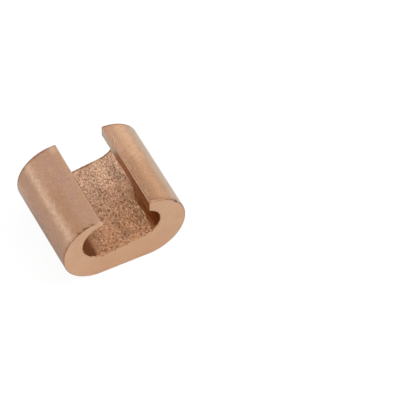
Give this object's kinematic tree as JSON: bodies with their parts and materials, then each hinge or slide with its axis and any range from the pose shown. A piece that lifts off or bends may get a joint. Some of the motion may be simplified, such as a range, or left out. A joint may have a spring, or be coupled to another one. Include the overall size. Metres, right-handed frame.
{
  "type": "compression connector",
  "caption": "C-shaped copper compression connector, one short extruded bar with a large and a small wire groove behind a mouth between a thin and a blunt lip.",
  "frame": {"origin": "middle of the flat back, at the base of the bounding box", "axes": "+X across the bar from the large run groove to the small tap groove, +Y along the extrusion, +Z from the flat back up through the mouth"},
  "size_m": [0.022, 0.0176, 0.0136],
  "materials": {
    "copper": "bare copper, sawn end faces, satin outside, rough grit-textured inside"
  },
  "bodies": {
    "root": {"connector_body": "copper"}
  },
  "joints": []
}
